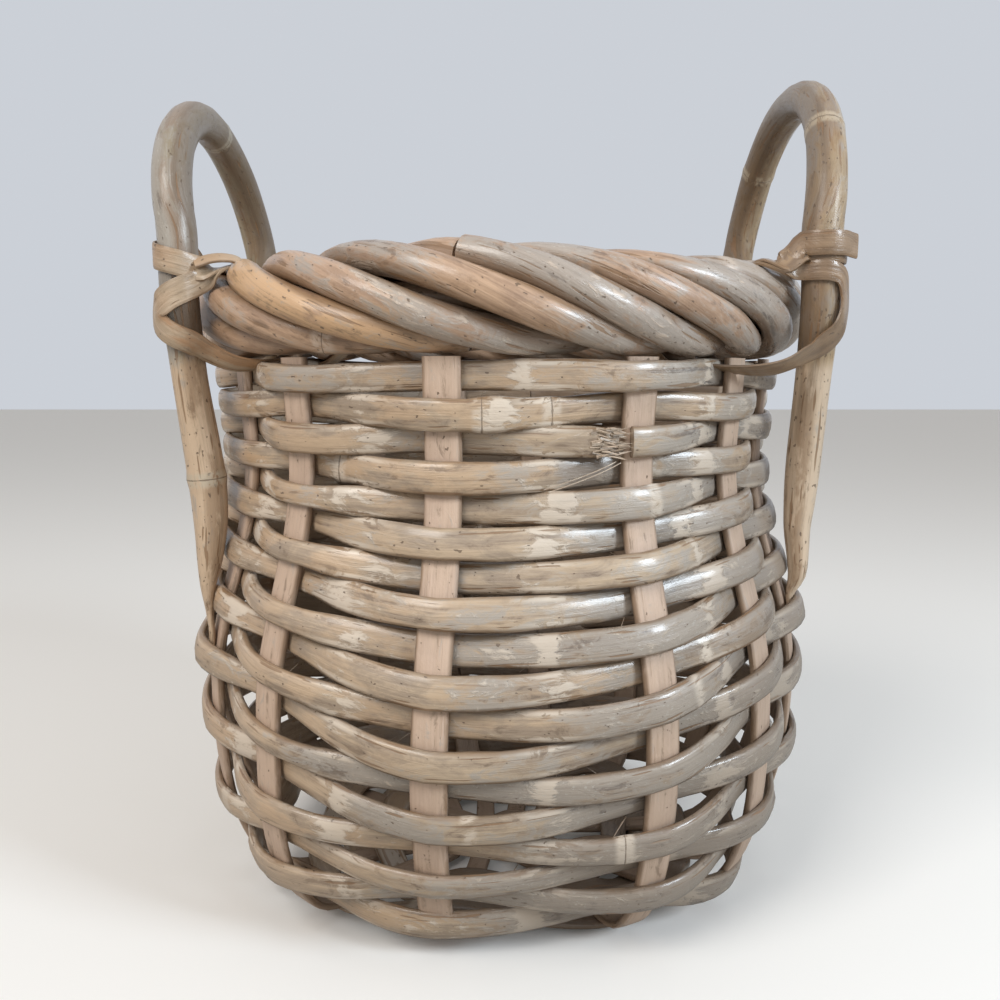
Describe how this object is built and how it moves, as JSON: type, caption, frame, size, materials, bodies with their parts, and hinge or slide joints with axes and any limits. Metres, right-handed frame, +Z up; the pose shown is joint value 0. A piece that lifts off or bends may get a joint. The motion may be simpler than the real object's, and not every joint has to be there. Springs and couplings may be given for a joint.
{
  "type": "onion basket",
  "caption": "Round woven rattan storage basket with a rope-twist rim and fixed hoop handles strapped to it.",
  "frame": {"origin": "centre of the whole object's box, on the plane that it stands on", "axes": "+Z up, -Y towards the viewer of the picture, the handles on the -X and +X sides"},
  "size_m": [0.2684, 0.2665, 0.3424],
  "materials": {
    "stake": "bare flat rattan, satin",
    "weaver": "half-round rattan with a worn grey-white wash, satin",
    "rim": "whole rattan cane with patches of grey wash, satin",
    "handle": "whole rattan cane, grey-green to tan, satin",
    "strap": "split rattan peel, glossy on its outer side"
  },
  "bodies": {
    "root": {"stake_strip_long_1": "stake", "stake_strip_long_2": "stake", "stake_strip_long_3": "stake", "stake_strip_long_4": "stake", "stake_strip_cross_1": "stake", "stake_strip_cross_2": "stake", "stake_strip_cross_3": "stake", "weaver_01_wall": "weaver", "weaver_02_wall": "weaver", "weaver_03_wall": "weaver", "weaver_04_wall": "weaver", "weaver_05_wall": "weaver", "weaver_06_wall": "weaver", "weaver_07_wall": "weaver", "weaver_08_wall": "weaver", "weaver_09_wall": "weaver", "weaver_10_wall": "weaver", "weaver_11_wall": "weaver", "weaver_12_wall": "weaver", "weaver_13_wall": "weaver", "weaver_14_wall": "weaver", "weaver_15_wall": "weaver", "weaver_16_wall": "weaver", "weaver_17_wall": "weaver", "weaver_18_wall": "weaver", "weaver_19_floor": "weaver", "weaver_20_floor": "weaver", "weaver_21_floor": "weaver", "rim_core": "rim", "rim_cane_1": "rim", "rim_cane_2": "rim", "rim_cane_3": "rim", "rim_cane_4": "rim", "rim_cane_5": "rim", "rim_cane_6": "rim", "handle_left": "handle", "handle_right": "handle", "rim_strap_left_front": "strap", "collar_strap_left_front": "strap", "rim_strap_left_back": "strap", "collar_strap_left_back": "strap", "rim_strap_right_front": "strap", "collar_strap_right_front": "strap", "rim_strap_right_back": "strap", "collar_strap_right_back": "strap"}
  },
  "joints": []
}
